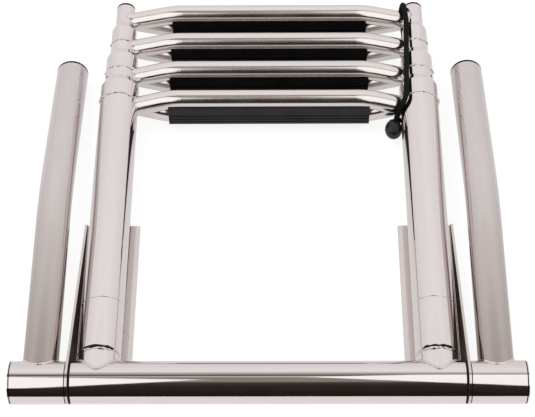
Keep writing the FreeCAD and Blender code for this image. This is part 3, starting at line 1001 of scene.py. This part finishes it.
def braid(along, turn):
    """How far a strand stands out, at a place along the cord and round it."""
    twist = 2 * math.pi * along / BRAID_PITCH
    one_way = math.cos(BRAID_STRANDS * (turn + twist))
    other_way = math.cos(BRAID_STRANDS * (turn - twist))
    return BRAID_DEPTH * max(one_way, other_way, 0)


bungee_mesh = bmesh.new()
rings = []
outward = Vector((1, 0, 0))
for number, spot in enumerate(bungee_line):
    before = bungee_line[max(number - 1, 0)]
    after = bungee_line[min(number + 1, len(bungee_line) - 1)]
    forward = (after - before).normalized()
    outward = (outward - forward * outward.dot(forward)).normalized()
    sideways = forward.cross(outward)
    ring = []
    for step in range(BRAID_SIDES):
        turn = 2 * math.pi * step / BRAID_SIDES
        reach = BUNGEE_RADIUS - BRAID_DEPTH + braid(number * BRAID_STEP, turn)
        ring.append(bungee_mesh.verts.new(spot + (outward * math.cos(turn)
                                                  + sideways * math.sin(turn)) * reach))
    rings.append(ring)
print("rings", len(rings))

# %% [markdown]
# The rings are joined by faces and closed at both ends, which hide in the ball. When the
# stages slide out, the real loop is unhooked and springs back towards its ball and a little
# away from the column. Here the braid keeps its folded shape and rides on the frame.

# %% Bungee as a piece
for near, far in zip(rings, rings[1:]):
    for step in range(BRAID_SIDES):
        ahead = (step + 1) % BRAID_SIDES
        bungee_mesh.faces.new((near[step], near[ahead], far[ahead], far[step]))
bungee_mesh.faces.new(rings[0])
bungee_mesh.faces.new(rings[-1])
bmesh.ops.recalc_face_normals(bungee_mesh, faces=bungee_mesh.faces)
bungee_data = bpy.data.meshes.new("bungee_braid")
bungee_mesh.to_mesh(bungee_data)
bungee_mesh.free()
bungee = bpy.data.objects.new("bungee_braid", bungee_data)
bpy.context.collection.objects.link(bungee)
bungee_data.materials.append(cord_fabric)
bungee_data.shade_smooth()
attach(bungee, "ladder_frame")
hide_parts("bungee_cord")
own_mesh(bungee)
print("bungee", len(bungee_data.polygons), "faces")

# %% [markdown]
# The ball is what a hand pulls. It is moulded in two halves, so a fine ridge runs round its
# middle. A plain sphere would miss it, so the sphere's middle edge is bevelled and the narrow
# band of faces that this gives is pushed out.

# %% Ball and its ridge
BALL_RADIUS = 0.0085
BALL_HALF_LENGTH = 0.01
RIDGE = 0.0004
RIDGE_SWELL = 1.025
bpy.ops.object.select_all(action="DESELECT")
bpy.ops.mesh.primitive_uv_sphere_add(segments=64, ring_count=40, radius=BALL_RADIUS)
ball = bpy.context.object
ball.name = "pull_ball"
ball.scale = (1, 1, BALL_HALF_LENGTH / BALL_RADIUS)
bpy.ops.object.transform_apply(location=True, rotation=True, scale=True)


def select_faces(wanted):
    """Leave only the ball's faces that pass a test selected."""
    bpy.ops.mesh.select_mode(type="FACE")
    bpy.ops.mesh.select_all(action="DESELECT")
    bpy.ops.object.mode_set(mode="OBJECT")
    for face in ball.data.polygons:
        face.select = wanted(face)
    bpy.ops.object.mode_set(mode="EDIT")


bpy.ops.object.mode_set(mode="EDIT")
bpy.ops.mesh.select_mode(type="EDGE")
bpy.ops.mesh.select_all(action="DESELECT")
bpy.ops.object.mode_set(mode="OBJECT")
for edge in ball.data.edges:
    edge.select = all(abs(ball.data.vertices[end].co.z) < RIDGE / 4 for end in edge.vertices)
bpy.ops.object.mode_set(mode="EDIT")
bpy.ops.mesh.bevel(offset=RIDGE, segments=2)
select_faces(lambda face: abs(face.center.z) < RIDGE)
bpy.ops.transform.resize(value=(RIDGE_SWELL, RIDGE_SWELL, 1))
bpy.ops.object.mode_set(mode="OBJECT")
print("ball with its ridge", len(ball.data.polygons), "faces")

# %% [markdown]
# A low collar guards the hole that takes both ends of the cord. The faces at the ball's tip
# are raised, drawn in and sunk, as a mould would form them. A hole cut right through by a
# boolean would show nothing more, since the cord fills it.

# %% Collar and hole of the ball
COLLAR_START = 0.0088
COLLAR_RISE = 0.0005
COLLAR_RIM = 0.0009
HOLE_DEPTH = 0.0015
CORD_RUN = 0.0228
CORD_CLIMB = 0.0096
BALL_TURN = -math.atan2(CORD_RUN, CORD_CLIMB)
SHARP_ANGLE = 40
bpy.ops.object.mode_set(mode="EDIT")
select_faces(lambda face: face.center.z > COLLAR_START)
bpy.ops.mesh.extrude_region_move(TRANSFORM_OT_translate={"value": (0, 0, COLLAR_RISE)})
bpy.ops.mesh.inset(thickness=COLLAR_RIM)
bpy.ops.mesh.extrude_region_move(TRANSFORM_OT_translate={"value": (0, 0, -HOLE_DEPTH)})
bpy.ops.object.mode_set(mode="OBJECT")
ball.rotation_euler = (BALL_TURN, 0, 0)
ball.location = BALL_SPOT
bpy.ops.object.transform_apply(location=True, rotation=True, scale=True)
bpy.ops.object.shade_smooth_by_angle(angle=math.radians(SHARP_ANGLE))
ball.data.materials.append(ball_plastic)
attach(ball, "ladder_frame")
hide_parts("bungee_ball")
print("ball", len(ball.data.polygons), "faces")
